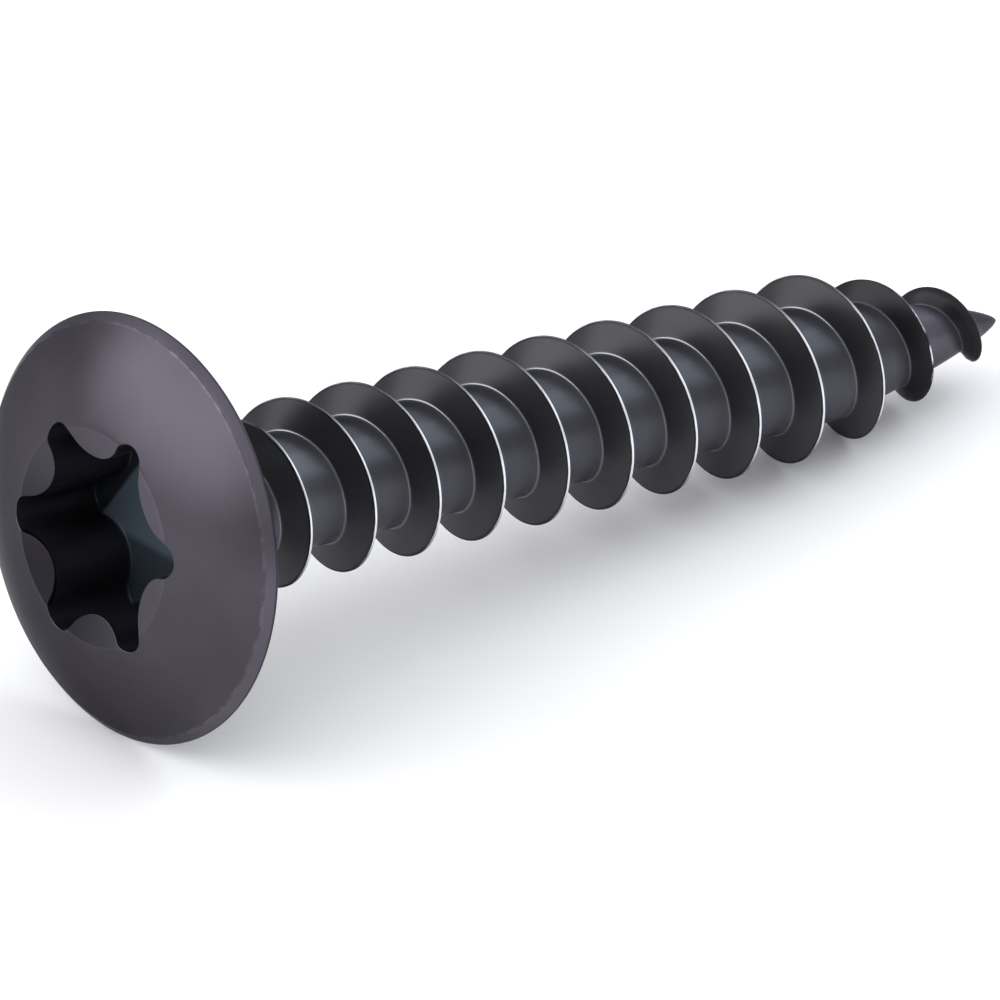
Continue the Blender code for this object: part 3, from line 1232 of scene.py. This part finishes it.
@dataclass(frozen=True)
class Softbox:
    """A soft rectangular light that faces the screw from one side."""

    name: str
    azimuth: float
    elevation: float
    width: float
    height: float
    radiance: float
    colour: Colour = (1.0, 1.0, 1.0)
    distance: float = 1.2

    def build(self) -> bpy.types.Object:
        """Hang the light and turn it to the screw.

        Returns:
            The light.
        """
        light = bpy.data.lights.new(self.name, "AREA")
        light.shape = "RECTANGLE"
        light.size = self.width
        light.size_y = self.height
        light.color = self.colour
        light.energy = self.radiance * math.pi * self.width * self.height
        lamp = bpy.data.objects.new(self.name, light)
        bpy.context.scene.collection.objects.link(lamp)
        turn, rise = math.radians(self.azimuth), math.radians(self.elevation)
        away = Vector((math.cos(turn) * math.cos(rise), math.sin(turn) * math.cos(rise), math.sin(rise)))
        lamp.location = away * self.distance
        lamp.rotation_euler = away.to_track_quat("Z", "Y").to_euler()
        lamp.visible_camera = False
        return lamp


@dataclass(frozen=True)
class PhotoCamera:
    """A very long lens at the photograph's viewing angle, close to a parallel view."""

    azimuth: float = math.radians(-40.15)
    elevation: float = math.radians(28.84)
    roll: float = math.radians(0.24)
    distance: float = 0.9
    sensor: float = 36.0
    frame_width: float = 21.635 * MM
    target: Point2 = (-0.911 * MM, 1.113 * MM)

    def build(self) -> bpy.types.Object:
        """Set the camera so that the photograph's frame holds the screw as it does there.

        Returns:
            The camera.
        """
        level = math.cos(self.elevation)
        east, north = math.cos(self.azimuth), math.sin(self.azimuth)
        back = Vector((north * level, -east * level, math.sin(self.elevation)))
        across = Vector((east, north, 0.0))
        rise = back.cross(across)
        spot = across * self.target[0] + rise * self.target[1] + back * self.distance
        tipped = Matrix.Rotation(-self.roll, 3, back)
        turn = Matrix((tipped @ across, tipped @ rise, back)).transposed()
        camera = bpy.data.objects.new("photo_camera", bpy.data.cameras.new("photo_camera"))
        bpy.context.scene.collection.objects.link(camera)
        camera.data.sensor_width = self.sensor
        camera.data.lens = self.sensor * self.distance / self.frame_width
        camera.matrix_world = Matrix.Translation(spot) @ turn.to_4x4()
        bpy.context.scene.camera = camera
        return camera


@dataclass
class Studio:
    """Pale table, soft lights and the photograph's camera."""

    floor_radius: float = 3.0
    floor_sides: int = 96
    floor_colour: Colour = (0.93, 0.925, 0.92)
    floor_mottle: float = 0.985
    floor_noise: Point2 = (40.0, 2.0)
    floor_roughness: float = 0.85
    floor_gloss: float = 0.2
    horizon: Colour = (0.68, 0.68, 0.72)
    horizon_rise: Span = (0.15, 0.55, 0.0, 1.0)
    sky: Colour = (1.05, 1.05, 1.08)
    backdrop: Colour = (1.02, 1.02, 1.02)
    lights: tuple[Softbox, ...] = (
        Softbox("key", 156.0, 29.0, 1.45, 0.85, 2.1),
        Softbox("front_fill", 338.0, 43.0, 1.00, 0.56, 1.80, (0.84, 0.98, 1.07)),
        Softbox("side_fill", 22.0, 34.0, 0.80, 0.60, 0.90, (0.86, 0.96, 1.12)),
    )

    def build(self) -> None:
        """Lay the floor, hang the lights and set the camera."""
        self.lay_floor()
        self.light_room()
        for light in self.lights:
            light.build()
        PhotoCamera().build()
        settings = bpy.context.scene.view_settings
        settings.view_transform = "Standard"
        settings.look = "None"

    def lay_floor(self) -> None:
        """Make the pale table top."""
        Bench.clear_selection()
        bpy.ops.mesh.primitive_circle_add(
            vertices=self.floor_sides, radius=self.floor_radius, fill_type="NGON", location=(0.0, 0.0, 0.0)
        )
        floor = bpy.context.object
        floor.name = "table"
        material = bpy.data.materials.new("table_white")
        material.use_nodes = True
        nodes = Nodes(material.node_tree)
        inputs = material.node_tree.nodes["Principled BSDF"].inputs
        cloud = nodes.noise(nodes.put("ShaderNodeTexCoord", {}, "Object"), *self.floor_noise)
        low = tuple(self.floor_mottle * part for part in self.floor_colour)
        nodes.join(nodes.blend(low, self.floor_colour, cloud), inputs["Base Color"])
        inputs["Roughness"].default_value = self.floor_roughness
        inputs["Specular IOR Level"].default_value = self.floor_gloss
        floor.data.materials.append(material)

    def light_room(self) -> None:
        """Fill the room with soft light, dimmer at the horizon, and show a pale wall behind."""
        world = bpy.data.worlds.new("room")
        bpy.context.scene.world = world
        world.use_nodes = True
        nodes = Nodes(world.node_tree)
        background = world.node_tree.nodes["Background"]
        way = nodes.put("ShaderNodeTexCoord", {}, "Generated")
        rise = nodes.put("ShaderNodeSeparateXYZ", {"Vector": way}, "Z")
        room = nodes.blend(self.horizon, self.sky, nodes.ranged(rise, self.horizon_rise))
        seen = nodes.put("ShaderNodeLightPath", {}, "Is Camera Ray")
        nodes.join(nodes.blend(room, self.backdrop, seen), background.inputs["Color"])


def main() -> None:
    """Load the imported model, build the screw over it, and set the studio."""
    logging.basicConfig(level=logging.INFO, format="%(name)s: %(message)s")
    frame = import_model()
    axis = ScrewAxis.from_mounts(frame["record"]["mounts"])
    piece = FormedScrew(axis).build()
    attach(piece, "root")
    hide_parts(NODE)
    LOG.info("%s: %d faces", piece.name, len(piece.data.polygons))
    Studio().build()


if __name__ == "__main__":
    main()
